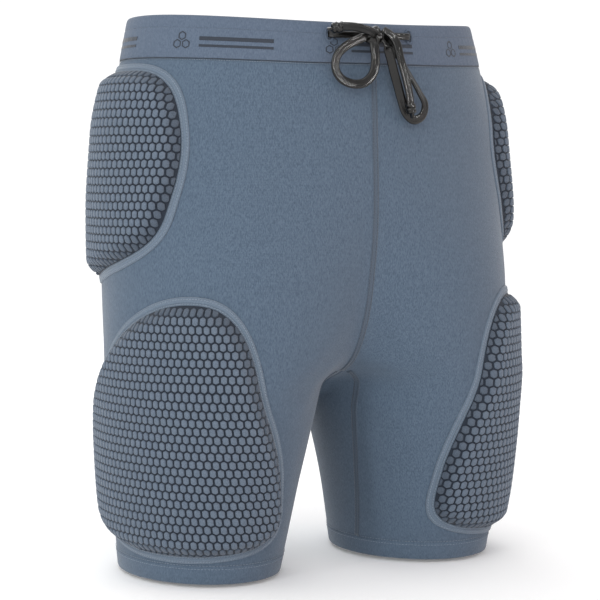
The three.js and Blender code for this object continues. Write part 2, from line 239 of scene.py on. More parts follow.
def build(name, points, quads=(), tris=(), mats=(), index=None, smooth=True, facts=None, closed=True,
          weld=False, recalc=False):
    """A mesh object from points in millimetres; facts are per-point numbers for its material."""
    points = np.asarray(points, float).reshape(-1, 3) * MM
    quads = np.asarray(quads, int).reshape(-1, 4)
    tris = np.asarray(tris, int).reshape(-1, 3)
    if closed:
        points, quads, tris = outward(points, quads, tris)
    mesh = bpy.data.meshes.new(name)
    mesh.vertices.add(len(points))
    mesh.vertices.foreach_set("co", points.astype(np.float32).ravel())
    loops = np.concatenate([quads.ravel(), tris.ravel()])
    sizes = np.concatenate([np.full(len(quads), 4), np.full(len(tris), 3)])
    mesh.loops.add(len(loops))
    mesh.loops.foreach_set("vertex_index", loops.astype(np.int32))
    mesh.polygons.add(len(sizes))
    mesh.polygons.foreach_set("loop_start", (np.cumsum(sizes) - sizes).astype(np.int32))
    mesh.polygons.foreach_set("use_smooth", np.full(len(sizes), smooth))
    if index is not None:
        mesh.polygons.foreach_set("material_index", np.asarray(index, np.int32))
    for key, value in (facts or {}).items():
        value = np.asarray(value, np.float32)
        kind, field = ("FLOAT_VECTOR", "vector") if value.ndim > 1 else ("FLOAT", "value")
        mesh.attributes.new(key, kind, "POINT").data.foreach_set(field, value.ravel())
    for m in mats:
        mesh.materials.append(m)
    mesh.update(calc_edges=True)
    mesh.validate()
    if weld or recalc:
        bm = bmesh.new()
        bm.from_mesh(mesh)
        if weld:
            bmesh.ops.remove_doubles(bm, verts=bm.verts, dist=2e-6)
            bmesh.ops.dissolve_degenerate(bm, edges=bm.edges, dist=1e-7)
        bmesh.ops.recalc_face_normals(bm, faces=bm.faces)
        bm.to_mesh(mesh)
        bm.free()
    obj = bpy.data.objects.new(name, mesh)
    bpy.context.scene.collection.objects.link(obj)
    return obj


def capped(rings):
    """Points and faces of a row of equal rings with both ends closed."""
    rings = np.asarray(rings, float)
    n, k = rings.shape[:2]
    points = np.concatenate([rings.reshape(-1, 3), rings[:1].mean(1), rings[-1:].mean(1)])
    m = np.arange(k)
    m2 = (m + 1) % k
    tris = np.concatenate([np.stack([np.full(k, n * k), m2, m], -1),
                           np.stack([np.full(k, n * k + 1), (n - 1) * k + m, (n - 1) * k + m2], -1)])
    return points, grid_faces(n, k, wrap_cols=True), tris


def looped(rings):
    """Points and faces of a row of equal rings whose last joins its first."""
    rings = np.asarray(rings, float)
    return rings, grid_faces(*rings.shape[:2], True, True), []


def joined(parts):
    """Several (points, quads, tris) as one."""
    points, quads, tris, start = [], [], [], 0
    for p, q, t in parts:
        p = np.asarray(p, float).reshape(-1, 3)
        points.append(p)
        quads.append(np.asarray(q, int).reshape(-1, 4) + start)
        tris.append(np.asarray(t, int).reshape(-1, 3) + start)
        start += len(p)
    return np.concatenate(points), np.concatenate(quads), np.concatenate(tris)


def stamped(template, centres, along, up, scale=(1, 1, 1)):
    """Copies of a small (points, quads, tris) at centres, its x along and its z up."""
    p, q, t = template
    p = np.asarray(p, float) * np.asarray(scale, float)
    along = unit(along)
    up = unit(up - (up * along).sum(-1, keepdims=True) * along)
    side = np.cross(up, along)
    points = (centres[:, None] + p[None, :, :1] * along[:, None] + p[None, :, 1:2] * side[:, None]
              + p[None, :, 2:] * up[:, None])
    shift = (np.arange(len(centres)) * len(p))[:, None, None]
    return points.reshape(-1, 3), (q[None] + shift).reshape(-1, 4), (t[None] + shift).reshape(-1, 3)


def even(line, step=None, count=None, closed=False):
    """The polyline again with evenly spaced points."""
    line = np.asarray(line, float)
    if closed:
        line = np.concatenate([line, line[:1]])
    gone = travelled(line)
    n = count or max(2, int(round(gone[-1] / step)) + 1)
    at = np.linspace(0, gone[-1], n + 1)[:-1] if closed else np.linspace(0, gone[-1], n)
    return np.stack([np.interp(at, gone, line[:, k]) for k in range(line.shape[1])], -1)


def spline(points, steps=24):
    """Centripetal curve through the points."""
    p = np.asarray(points, float)
    p = np.concatenate([[2 * p[0] - p[1]], p, [2 * p[-1] - p[-2]]])
    made = []
    for i in range(1, len(p) - 2):
        p0, p1, p2, p3 = p[i - 1:i + 3]
        d0, d1, d2 = (max(np.linalg.norm(b - a) ** 0.5, 1e-6) for a, b in ((p0, p1), (p1, p2), (p2, p3)))
        t1 = ((p1 - p0) / d0 - (p2 - p0) / (d0 + d1) + (p2 - p1) / d1) * d1
        t2 = ((p2 - p1) / d1 - (p3 - p1) / (d1 + d2) + (p3 - p2) / d2) * d1
        t = np.linspace(0, 1, steps, endpoint=False)[:, None]
        made.append(p1 * (2 * t ** 3 - 3 * t ** 2 + 1) + t1 * (t ** 3 - 2 * t ** 2 + t)
                    + p2 * (3 * t ** 2 - 2 * t ** 3) + t2 * (t ** 3 - t ** 2))
    return np.concatenate([*made, p[-2:-1]])


# --- materials ---


def node(tree, kind, inputs, **settings):
    """A new node; each input is linked to a socket or set to a value."""
    made = tree.nodes.new("ShaderNode" + kind)
    for key, value in settings.items():
        setattr(made, key, value)
    for key, value in inputs.items():
        if isinstance(value, bpy.types.NodeSocket):
            tree.links.new(value, made.inputs[key])
        else:
            made.inputs[key].default_value = value
    return made


def rgba(value):
    return value if isinstance(value, bpy.types.NodeSocket) else (*value, 1)


class Paint:
    """Short way to write a node material."""

    def __init__(self, name, rough, sheen=0.0, specular=0.3):
        self.material = bpy.data.materials.new(name)
        self.material.use_nodes = True
        self.tree = self.material.node_tree
        self.tree.nodes.clear()
        self.shader = self.node("BsdfPrincipled", {"Roughness": rough, "Specular IOR Level": specular,
                                                   "Sheen Weight": sheen, "Sheen Roughness": 0.45})
        self.node("OutputMaterial", {"Surface": self.shader.outputs[0]})
        self.bumps = {}

    def node(self, kind, inputs, **settings):
        return node(self.tree, kind, inputs, **settings)

    def place(self, scale):
        """Object coordinates in metres, scaled."""
        spot = self.node("TexCoord", {}).outputs["Object"]
        return self.node("Mapping", {"Vector": spot, "Scale": scale}).outputs[0]

    def noise(self, scale, detail=2.0, rough=0.5):
        return self.node("TexNoise", {"Vector": self.place(scale), "Scale": 1.0, "Detail": detail,
                                      "Roughness": rough}).outputs["Fac"]

    def wave(self, scale, distortion=0.0):
        """Bands stacked along Z."""
        return self.node("TexWave", {"Vector": self.place((1, 1, 1)), "Scale": scale,
                                     "Distortion": distortion}, bands_direction="Z").outputs["Fac"]

    def fact(self, key, output="Fac"):
        return self.node("Attribute", {}, attribute_name=key).outputs[output]

    def math(self, kind, a, b=0.0, clamp=False):
        return self.node("Math", {0: a, 1: b}, operation=kind, use_clamp=clamp).outputs[0]

    def between(self, value, low, high, to_low=0.0, to_high=1.0):
        return self.node("MapRange", {"Value": value, "From Min": low, "From Max": high, "To Min": to_low,
                                      "To Max": to_high}).outputs[0]

    def mix(self, share, a, b, kind="MIX"):
        return self.node("Mix", {"Factor": share, "A": rgba(a), "B": rgba(b)}, data_type="RGBA",
                         blend_type=kind).outputs["Result"]

    def colour(self, value):
        self.tree.links.new(value, self.shader.inputs["Base Color"])

    def bump(self, height, distance, strength):
        """Relief on the shader, over any relief it already has."""
        made = self.node("Bump", {"Height": height, "Distance": distance, "Strength": strength, **self.bumps})
        self.bumps = {"Normal": made.outputs[0]}
        self.tree.links.new(made.outputs[0], self.shader.inputs["Normal"])


def heathered(name, dark, light, sheen=0.25, rough=0.88):
    """Fine melange knit: flecks drawn out along the wales, soft mottling, stitch bump."""
    p = Paint(name, rough, sheen, 0.22)
    flecks = p.noise((1500, 1500, 420), 3, 0.65)
    soft = p.noise((620, 620, 330))
    broad = p.noise((11, 11, 7), 3)
    share = p.math("ADD", p.between(flecks, 0.34, 0.66), p.between(soft, 0.3, 0.7, -0.12, 0.12), clamp=True)
    tone = p.mix(share, dark, light)
    p.colour(p.mix(p.between(broad, 0.3, 0.7, 0.0, 0.5), tone, (0.93, 0.94, 0.96), "MULTIPLY"))
    p.bump(p.noise((2600, 2600, 1500)), 0.00018, 0.65)
    p.bump(p.wave(260, 1.5), 0.00007, 0.6)
    return p.material


def trimmed(name, dark, light, rough=0.7):
    """Flecked thread or tape."""
    p = Paint(name, rough, 0.3)
    flecks = p.noise((1900, 1900, 1900), 3, 0.6)
    p.colour(p.mix(p.between(flecks, 0.3, 0.7), dark, light))
    p.bump(p.noise((3200, 3200, 3200), 1), 0.0002, 0.6)
    return p.material


def groove_fabric():
    p = Paint("pad_groove", 0.75, 0.2, 0.25)
    flecks = p.noise((2000, 2000, 2000), 3)
    p.colour(p.mix(p.between(flecks, 0.3, 0.7), (0.009, 0.014, 0.024), (0.02, 0.029, 0.045)))
    p.bump(p.noise((3000, 3000, 3000), 1), 0.0003, 0.8)
    return p.material


def cell_face():
    p = Paint("pad_cell", 0.72, 0.15, 0.35)
    grain = p.noise((1300, 1300, 1300), 4, 0.75)
    wear = p.noise((90, 90, 90))
    tone = p.mix(p.between(grain, 0.3, 0.7), (0.064, 0.088, 0.122), (0.142, 0.181, 0.236))
    tone = p.mix(p.between(wear, 0.35, 0.7, 0.0, 0.35), tone, (0.8, 0.84, 0.9), "MULTIPLY")
    # painted shade: cells within about 11 mm of the edge are darkened, down to a multiply by 0.46, standing
    # in for the shade on the pad's bevel
    rim = p.between(p.fact("rim"), 1.0, 11.0, 0.85, 0.0)
    p.colour(p.mix(rim, tone, (0.46, 0.47, 0.49), "MULTIPLY"))
    p.bump(grain, 0.0004, 0.8)
    return p.material


def foam_skin():
    p = Paint("pad_foam", 0.9, 0.0, 0.2)
    cells = p.node("TexVoronoi", {"Vector": p.place((900, 900, 900))}).outputs["Distance"]
    p.colour(p.mix(p.between(cells, 0.0, 0.7), (0.012, 0.014, 0.017), (0.045, 0.05, 0.056)))
    p.bump(cells, 0.0004, 0.8)
    return p.material


def cord_weave():
    """Flat woven cord: slanting picks meeting at the middle, and a waxy shine."""
    p = Paint("drawcord", 0.12, 0.0, 0.42)
    flat = p.node("SeparateXYZ", {0: p.fact("flat", "Vector")}).outputs
    slant = p.math("ADD", flat["X"], p.math("MULTIPLY", p.math("ABSOLUTE", flat["Y"]), 0.9))
    picks = p.math("SINE", p.math("MULTIPLY", slant, 2 * math.pi / 0.95))
    strands = p.math("SINE", p.math("MULTIPLY", flat["Y"], 2 * math.pi / 1.15))
    weave = p.math("ADD", p.between(picks, -1, 1), p.between(strands, -1, 1, 0.0, 0.7))
    dust = p.noise((120, 120, 120), 3)
    tone = p.mix(p.between(weave, 0.2, 1.6), (0.0014, 0.0014, 0.0014), (0.0048, 0.0045, 0.0042))
    p.colour(p.mix(p.between(dust, 0.4, 0.8, 0.0, 0.5), tone, (0.012, 0.011, 0.009)))
    p.bump(weave, 0.00006, 0.7)
    return p.material


def label_cloth():
    p = Paint("label_satin", 0.45, 0.2, 0.4)
    p.colour(p.mix(p.noise((3000, 600, 600)), (0.52, 0.53, 0.54), (0.74, 0.75, 0.76)))
    p.bump(p.wave(900), 0.00008, 0.6)
    return p.material


BODY_KNIT = heathered("body_knit", (0.057, 0.085, 0.124), (0.1, 0.141, 0.194))
HEM_KNIT = heathered("hem_knit", (0.06, 0.089, 0.129), (0.105, 0.147, 0.201))
BAND_KNIT = heathered("band_knit", (0.074, 0.101, 0.146), (0.11, 0.143, 0.196), sheen=0.12, rough=0.85)
STRIP_KNIT = trimmed("strip_knit", (0.082, 0.116, 0.16), (0.15, 0.195, 0.252))
SEAM_KNIT = trimmed("seam_knit", (0.042, 0.061, 0.089), (0.078, 0.107, 0.146))
THREAD_PALE = trimmed("thread_pale", (0.15, 0.19, 0.24), (0.23, 0.28, 0.34), 0.55)
THREAD_DARK = trimmed("thread_dark", (0.016, 0.024, 0.038), (0.034, 0.046, 0.066), 0.55)
MOTIF = trimmed("motif", (0.015, 0.021, 0.033), (0.03, 0.039, 0.055))
GROOVE, CELL, FOAM, CORD, LABEL = groove_fabric(), cell_face(), foam_skin(), cord_weave(), label_cloth()

# --- what each piece stands for and moves with ---
LEG = {-1: "right_leg", 1: "left_leg"}
SIDE = {-1: "right", 1: "left"}


def fitted(obj, slot, *nodes, body="trunk", side=None):
    """Hides the CAD nodes a piece replaces; it moves with a body, or with a side it keeps its place. The slot
    is not used.
    """
    if nodes:
        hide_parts(*nodes)
    if side is None:
        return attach(obj, body)
    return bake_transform(obj)


# --- drawcord ---
QUARTER = [(3.5, 0.0), (3.42, 0.5), (3.0, 0.86), (2.0, 1.0), (0.9, 0.92), (0.0, 0.82)]
HALF = QUARTER + [(-x, y) for x, y in QUARTER[-2::-1]]
FLAT_SECTION = HALF + [(-x, -y) for x, y in HALF[1:-1]]


def swept(line, wide_at, size=(1.0, 1.0), closed=False, profile=FLAT_SECTION):
    """Rings of a section along a line, its width held along wide_at, and their flat coordinates."""
    along = headings(line, closed)
    wide = np.broadcast_to(np.asarray(wide_at, float), line.shape)
    wide = unit(wide - (wide * along).sum(-1, keepdims=True) * along)
    thick = np.cross(along, wide)
    ab = np.array(profile, float) * np.array(size)
    rings = line[:, None] + wide[:, None] * ab[None, :, :1] + thick[:, None] * ab[None, :, 1:]
    gone = travelled(line)[:, None]
    return rings, np.stack(np.broadcast_arrays(gone, ab[None, :, 0], 0.0 * gone), -1)


def strand(line, wide_at, size):
    rings, flat = swept(line, wide_at, size)
    return capped(rings), np.concatenate([flat.reshape(-1, 3), flat[:1, 0], flat[-1:, 0]])


def coil(line, wide_at, size=(1.0, 1.0), profile=FLAT_SECTION):
    rings, flat = swept(line, wide_at, size, True, profile)
    return looped(rings), flat.reshape(-1, 3)


def lace(name, points, wide_at, size=(1.0, LACE_THICK / 2)):
    """One run of the flat drawcord; returns the piece and its own centre line."""
    line = even(spline(points), step=0.9)
    part, flat = strand(line, [wide_at(p) for p in line], size)
    return build(name, *part, [CORD], facts={"flat": flat}), line


def ball(centre, size):
    """A closed oval lump, with no weave of its own."""
    u = np.linspace(0.2, math.pi - 0.2, 10)[:, None]
    v = turns(20)[None]
    rings = np.stack([size[0] * np.sin(u) * np.cos(v), size[1] * np.sin(u) * np.sin(v),
                      size[2] * np.cos(u) + 0 * v], -1) + centre
    points, quads, tris = capped(rings)
    return (points, quads[:, ::-1], tris[:, ::-1]), np.zeros((len(points), 3))


def knotted(name, parts):
    """A knot from parts and their flat coordinates."""
    return build(name, *joined([part for part, _ in parts]), [CORD],
                 facts={"flat": np.concatenate([flat for _, flat in parts])})


def hitch(name, centre, axis, radius):
    """A stopper knot: three turns of the cord pulled tight side by side, and its cut tail."""
    tube, gap = 1.75, 2.7
    centre, axis = np.array(centre, float), unit(np.array(axis, float))
    up = unit(np.cross(axis, (0.0, 1.0, 0.2)))
    beside = np.cross(axis, up)
    bulge = [(tube * math.cos(q), tube * 0.9 * math.sin(q)) for q in turns(12)]
    t = turns(48)
    parts = []
    for k, lean, reach in ((-1, 0.30, 0.88 * radius), (0, -0.22, radius), (1, 0.26, 0.88 * radius)):
        line = oval(centre, up * reach, beside * reach, 48)
        line += np.outer(k * gap + lean * reach * np.cos(t + k), axis)
        parts.append(coil(line, axis, profile=bulge))
    parts.append(strand(centre + np.outer(np.linspace(0, gap + tube + 3.2, 12), axis), beside, (0.62, 1.0)))
    parts.append(ball(centre, (radius, radius, radius)))
    return knotted(name, parts)


def front(x, out):
    return across(-1, x, LACE_HEIGHT, out, True)


run, run_line = lace("drawcord_front", [front(x, out) for x, out in (
    (-BUTTONHOLE_X, -2.4), (-BUTTONHOLE_X + 0.4, 1.2), (-BUTTONHOLE_X + 3.4, 3.5), (-20, 3.8), (0, 3.6),
    (20, 3.8), (BUTTONHOLE_X - 3.4, 3.5), (BUTTONHOLE_X - 0.4, 1.2), (BUTTONHOLE_X, -2.4))],
    lambda p: (0, -0.3, 1), (0.75, 1.25 * LACE_THICK / 2))
loop_r, loop_r_line = lace("drawcord_loop_right", [
    (-6.6, -114, -17.4), (-12.6, -113.6, -18.6), (-20, -113.4, -21.4), (-29, -113, -26), (-36, -113, -33),
    (-37.4, -113, -42), (-32.5, -113.2, -49.6), (-23, -114.2, -53.4), (-13.6, -115.6, -52.2),
    (-7.4, -116.8, -46), (-5.6, -117.6, -38.6), (-5.6, -117.6, -31.6), (-6, -117, -25.4), (-6, -116, -20.5)],
    lambda p: (p[0] + 20, -2, p[2] + 37))
loop_l, loop_l_line = lace("drawcord_loop_left", [
    (1.4, -115, -15.4), (5.6, -115.6, -19.5), (11, -117, -27), (19, -118, -38.5), (27, -117.4, -49),
    (35, -116, -59.5), (40.6, -114.6, -68), (38.6, -114, -76.5), (31, -114, -79.6), (24, -114.4, -74.6),
    (19.4, -115.2, -65), (14.6, -116.6, -53), (10, -118.2, -42.5), (6.2, -119.6, -32.6), (3.6, -119.6, -26.4),
    (0.6, -117.6, -20.4)],
    lambda p: (p[0] - 27, 5, p[2] + 60))
short, short_line = lace("drawcord_short_end", [
    (2.5, -112.5, -20.5), (-3.2, -117, -18), (-9, -121, -15.8), (-16, -123, -13.8), (-23, -122.4, -12.2),
    (-29, -119, -11.4), (-33.5, -114.8, -11.4), (-36.6, -111.4, -12.2)], lambda p: (0.1, -0.7, 0.7))
long_, long_line = lace("drawcord_long_end", [
    (1.6, -117, -12.4), (5.6, -120.6, -16), (9, -124, -22), (11.6, -125.6, -34), (16, -125, -46),
    (20.4, -123.6, -58), (22.8, -122.4, -68)], lambda p: (1, 0.2, 0.3))
short_knot = hitch("short_end_hitch", (-35.0, -112, -11.9), (-0.85, 0.45, -0.15), 2.9)
long_knot = hitch("long_end_hitch", (23.2, -122, -71.0), (0.28, 0.06, -1.0), 2.6)


def bow_knot():
    """The knot that holds the bow: turns of the flat cord pulled round a tight core."""
    middle_ = np.array([-4, -114.2, -17.5])
    parts = []
    for shift, normal, up, radii, width in (
            ((0.8, -0.3, 0.2), (0.92, 0, 0.38), (0, 0, 1), (6.3, 4.4), 0.92),
            ((-2.2, 0.5, -0.4), (0.88, 0.1, -0.46), (0, 0, 1), (5.4, 3.7), 0.8),
            ((0.5, 0.7, 0), (0.15, 0.1, 1.0), (1, 0, 0), (6.6, 4.0), 0.72)):
        normal, up = unit(np.array(normal, float)), np.array(up, float)
        up = unit(up - (up @ normal) * normal)
        line = oval(middle_ + shift, up * radii[0], np.cross(up, normal) * radii[1], 64)
        parts.append(coil(line, normal, (width, 1.0)))
    return knotted("drawcord_bow_knot", parts + [ball(middle_, (5.2, 3.7, 5.2))])


knot = bow_knot()
for piece, body, replaced, *cord in (
        (knot, "trunk", "drawcord_knot"),
        (short_knot, "end_short", "short_end_knot"),
        (long_knot, "end_long", "long_end_knot"),
        (run, "trunk", "drawcord_front_run", run_line, "object", "taut", knot),
        (loop_r, "bow_right", "bow_loop_right", loop_r_line, "object", "hanging"),
        (loop_l, "bow_left", "bow_loop_left", loop_l_line, "object", "hanging"),
        (short, "end_short", "drawcord_end_short", short_line, "knot", "loose", short_knot),
        (long_, "end_long", "drawcord_end_long", long_line, "knot", "hanging", long_knot)):
    fitted(piece, "drawcord", replaced, body=body)
    if cord:
        line, far_end, lay, *ends = cord
        round(float(travelled(line)[-1]) * MM, 3)
        [tuple(p * MM) for p in line]
        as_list(ends)

# --- stitches ---
STITCH = capped([[(x, 0.5 * w * math.cos(q), 0.5 * w * math.sin(q)) for q in turns(6)]
                 for x, w in ((-0.5, 0.45), (-0.36, 0.95), (0, 1.0), (0.36, 0.95), (0.5, 0.45))])


def stitches(line, normals, spacing, long, thick, lift=0.05, closed=False, slant=0.0):
    """A row of sewn stitches lying along a line on a surface."""
    both = np.concatenate([line, normals], -1)
    if closed:
        round_ = np.linalg.norm(np.roll(line, -1, 0) - line, axis=1).sum()
        both = even(both, count=max(3, int(round(round_ / spacing))), closed=True)
    else:
        both = even(both, step=spacing)
    p, n = both[:, :3], unit(both[:, 3:])
    along = headings(p, closed)
    if slant:
        along = unit(along + slant * np.cross(n, along))
    return stamped(STITCH, p + n * lift, along, n, (long, thick, thick))


def thread(name, rows, body="trunk", side=None, paint=THREAD_PALE):
    fitted(build(name, *joined(rows), mats=[paint]), "seam_thread", body=body, side=side)


# --- body cloth, one piece a side from waistband to hem ---
CLOTH_THICK = 1.3
COLUMNS = 170


def ripple(h, s):
    """Slight unevenness of stretched cloth, in millimetres."""
    wide = np.cos(s / 31) * np.sin(h / 39 + 0.9 * np.cos(s / 53) + 1.3)
    crotch = np.exp(-((h - 150) / 42) ** 2) * np.exp(-((np.abs(s) - 200) / 45) ** 2)
    folds = np.sin((h + 0.75 * (235 - np.abs(s))) / 5.4) * crotch
    return 0.22 * wide + 0.38 * folds


def round_half(h, cols):
    """Angles and arc lengths of evenly spaced points round one half at a height."""
    wide = float(span(h))
    # closer angles towards the ends, where the halves run together
    a = wide * np.sin(np.linspace(-wide, wide, 900) / wide * math.pi / 2)
    gone = travelled(place(1, h, a, 0.0, True))
    at = np.linspace(0, gone[-1], cols)
    return np.interp(at, gone, a), at - gone[-1] / 2


def half_rows(heights, cols, out=0.0):
    """Evenly spaced points round the left half at each height, some way out of the cloth."""
    angles, arcs = (np.array(rows) for rows in zip(*(round_half(h, cols) for h in heights)))
    hh = np.repeat(np.asarray(heights, float)[:, None], cols, 1)
    return place(1, hh, angles, np.reshape(out, (-1, 1)) + ripple(hh, arcs))


def two_layers(rows, cols, first=0):
    """Faces of a grid and one behind it, joined at both ends and, from row first on, at the sides."""
    ahead, n = grid_faces(rows, cols), rows * cols
    c = np.arange(cols - 1)
    t = (rows - 1) * cols + c
    r = np.arange(first, rows - 1) * cols
    e = r + cols - 1
    rim = ((c + 1, c, n + c, n + c + 1), (t, t + 1, n + t + 1, n + t),
           (r, r + cols, n + r + cols, n + r), (e + cols, e, n + e, n + e + cols))
    return np.concatenate([ahead, ahead[:, ::-1] + n, *(np.stack(q, -1) for q in rim)])


def cloth(side):
    """Body and leg cloth of one side, split only below the crotch."""
    near = SADDLE + np.array([-1.9, -1.1, -0.5, -0.15, 0, 0.15, 0.5, 1.1, 1.9])
    low = np.arange(9, near[0] - 1, 2.5)
    heights = np.concatenate([low, near, np.arange(near[-1] + 1.2, 401.5, 2.5)])
    saddle_row = len(low) + 4
    tuck = np.where(heights > 396.8, -0.9, 0.0)
    layers = np.array([half_rows(heights, COLUMNS, tuck - thick) for thick in (0.0, CLOTH_THICK)])
    layers[:, saddle_row:, [0, -1], 0] = 0
    layers[..., 0] *= side
    quads = two_layers(len(heights), COLUMNS, saddle_row)
    obj = build(f"{SIDE[side]}_cloth", layers, quads, mats=[BODY_KNIT], weld=True)
    return fitted(obj, "body_knit", f"{SIDE[side]}_body_panel", f"{SIDE[side]}_leg_panel", side=side)


def hem(side):
    """Turned-up hem: outer fold a touch proud, rounded lower edge, inner layer behind."""
    profile = [(0.16, 14.6), (0.34, 13.9), (0.36, 12), (0.30, 6), (0.28, 1.6), (0.0, 0.55), (-0.8, 0.05),
               (-1.8, 0.05), (-2.7, 0.6), (-3.0, 1.8), (-3.1, 8), (-3.15, 15), (-2.9, 16.4), (-2.0, 16.6),
               (-1.6, 15.8), (-1.0, 14.9)]
    rings = np.array([half_rows([h], COLUMNS + 1, o)[0, :-1] for o, h in profile])
    rings[..., 0] *= side
    fitted(build(f"{SIDE[side]}_hem", *looped(rings), mats=[HEM_KNIT]), "body_knit", f"{SIDE[side]}_hem_band",
           body=LEG[side])
    rows = []
    for h in (12.6, 15.4):
        line, outer_line = (half_rows([h], 200, out)[0, :-1] * (side, 1, 1) for out in (0.42, 1.42))
        rows.append(stitches(line, outer_line - line, 2.6, 1.9, 0.36, 0.0, closed=True))
    thread(f"{SIDE[side]}_hem_stitches", rows, body=LEG[side])


for side in (-1, 1):
    piece = cloth(side)
    hem(side)

# --- flat seams ---
SEAM = [(-2.7, -0.7), (-2.6, 0.22), (-2.2, 0.52), (-1.5, 0.60), (-0.5, 0.46), (0, 0.30), (0.5, 0.46),
        (1.5, 0.60), (2.2, 0.52), (2.6, 0.22), (2.7, -0.7)]


def seam(name, at, side=None):
    """Two cloths sewn flat, a double ridge with stitches; at(out) is its line that far out of them."""
    both = even(np.concatenate([at(0.0), at(1.0) - at(0.0)], -1), step=2.0)
    line, normals = both[:, :3], both[:, 3:]
    along = headings(line)
    normals = unit(normals - (normals * along).sum(-1, keepdims=True) * along)
    wide = np.cross(along, normals)
    ab = np.array(SEAM)
    rings = line[:, None] + wide[:, None] * ab[None, :, :1] + normals[:, None] * ab[None, :, 1:]
    fitted(build(f"{name}_cover", *capped(rings), mats=[SEAM_KNIT]), "seam_thread", name, side=side)
    rows = [stitches(line + wide * k, normals, 2.4, 1.9, 0.34, 0.56) for k in (-1.6, 1.6)]
    thread(f"{name}_cover_stitches", rows, side=side, paint=THREAD_DARK)


# degrees from the outermost line, by height
INSEAM_LINE = [[15, 165], [24, 164], [70, 160], [127, 154], [150, 149.2], [160, 146.2], [163.6, 145]]


def inseam_angle(h):
    return -np.radians(np.interp(h, *zip(*INSEAM_LINE)))


STEPS = np.linspace(140, 165, 251)
JUNCTION = float(STEPS[np.argmax(inseam_angle(STEPS) <= -span(STEPS) + 0.012)])

# the front one starts where the two inseams meet it
for name, way, foot in (("centre_front_seam", -1, JUNCTION), ("centre_back_seam", 1, SADDLE + 0.6)):
    h = foot + (398.5 - foot) * np.linspace(0, 1, 170) ** 1.7
    seam(name, lambda out: across(way, 0 * h, h, out))
for side in (-1, 1):
    h = np.linspace(15.5, JUNCTION - 0.8, 80)
    seam(f"{SIDE[side]}_inseam", lambda out: place(side, h, inseam_angle(h), out), side)

# --- waistband ---
BAND_COLUMNS = 260


def band_ring(h, out, ripple_by=0.0):
    """Ring round the whole waist, left half then right half."""
    angles, arcs = round_half(h, BAND_COLUMNS)
    left = place(1, h, angles, out + ripple_by * np.sin(arcs * 2 * math.pi / 7.3), True)
    left[[0, -1], 0] = 0
    right = left[::-1] * (-1, 1, 1)
    return np.concatenate([left[:-1], right[:-1]])


def waistband():
    """Outer layer rolled over the rim, the lining, and the rows of stitches round them."""
    outer_layer = [(-0.5, 397.2), (0.15, 397.4), (0.42, 398.4), (0.46, 400), (0.44, 410), (0.44, 419.2),
                   (0.30, 420.0), (0.22, 420.5), (0.30, 421.0), (0.44, 421.8), (0.42, 426), (0.2, 428.4),
                   (-0.5, 429.6), (-1.5, 430), (-3.2, 430), (-4.4, 429.6), (-5.0, 428.4), (-5.0, 426.6),
                   (-4.2, 426.2), (-3.2, 428.2), (-1.8, 428.4), (-0.95, 427), (-0.9, 420), (-0.9, 410),
                   (-0.9, 398.2)]
    lining = [(-5.0, 428.0), (-5.1, 424), (-5.1, 412), (-5.0, 400.2), (-5.4, 398.8), (-6.0, 399.2),
              (-6.1, 402), (-6.1, 412), (-6.1, 424), (-5.9, 428.2), (-5.5, 428.8)]
    for name, profile, ribs, replaced in (("waistband_cover", outer_layer, 0.07, "waistband_outer"),
                                          ("waistband_lining", lining, 0.0, "waistband_facing")):
        rings = np.array([band_ring(h, o, ribs if o > 0 else 0.0) for o, h in profile])
        fitted(build(name, *looped(rings), mats=[BAND_KNIT]), "waistband_knit", replaced)
    for name, h, out, spacing, long, thick, paint in (
            ("waistband_seam_stitches", 396.2, 0.30, 1.9, 1.35, 0.36, THREAD_PALE),
            ("waistband_seam_line", 397.3, 0.16, 1.3, 1.5, 0.6, THREAD_DARK),
            ("waistband_tunnel_stitches", 420.5, 0.24, 2.2, 1.7, 0.3, SEAM_KNIT)):
        line = band_ring(h, out)
        row = stitches(line, band_ring(h, out + 1) - line, spacing, long, thick, 0.0, closed=True)
        thread(name, [row], paint=paint)


waistband()


def motif():
    """Woven-in decoration on the band, seven times round: three small hexagon rings and two plain bars."""
    low_edge, high_edge, repeats = 402.0, 418.0, 7
    rim = band_ring(410, 0.0)[:, :2]
    gone = travelled(np.concatenate([rim, rim[:1]]))
    parts = []

    def spot(arc, h, out):
        """Arc 0 is the centre front; positive runs to the wearer's left."""
        at = np.mod(arc, gone[-1])
        low, high = (np.stack([np.interp(at, gone, np.append(r, r[0])) for r in band_ring(edge, out).T], -1)
                     for edge in (low_edge, high_edge))
        t = ((h - low_edge) / (high_edge - low_edge))[:, None]
        return low * (1 - t) + high * t

    def strip(points, wide, closed=False):
        """Low flat line on the band through points (x along, h up)."""
        p = even(points, count=max(8, len(points) * 4), closed=closed)
        way = headings(p, closed)
        beside = np.stack([-way[:, 1], way[:, 0]], -1) * wide
        corners = ((-0.5, 0.3), (-0.5, 0.72), (0.5, 0.72), (0.5, 0.3))
        rings = np.stack([spot(*(p + beside * k).T, o) for k, o in corners], 1)
        parts.append(looped(rings) if closed else capped(rings))

    for i in range(repeats):
        base = (i - 3) * gone[-1] / repeats - 12
        for dx, dh in ((-3.6, -2.3), (3.6, -2.3), (0.0, 3.9)):
            around = [(base - 20 + dx + 3.1 * math.sin(q), 410.2 + dh + 3.1 * math.cos(q)) for q in turns(6)]
            strip(around, 0.85, closed=True)
        for h, wide in ((412.4, 3.0), (406.9, 2.0)):
            strip([(base - 6, h), (base + 50, h)], wide)
    obj = build("waistband_motif", *joined(parts), mats=[MOTIF], smooth=False, closed=False, recalc=True)
    fitted(obj, "waistband_knit")


motif()


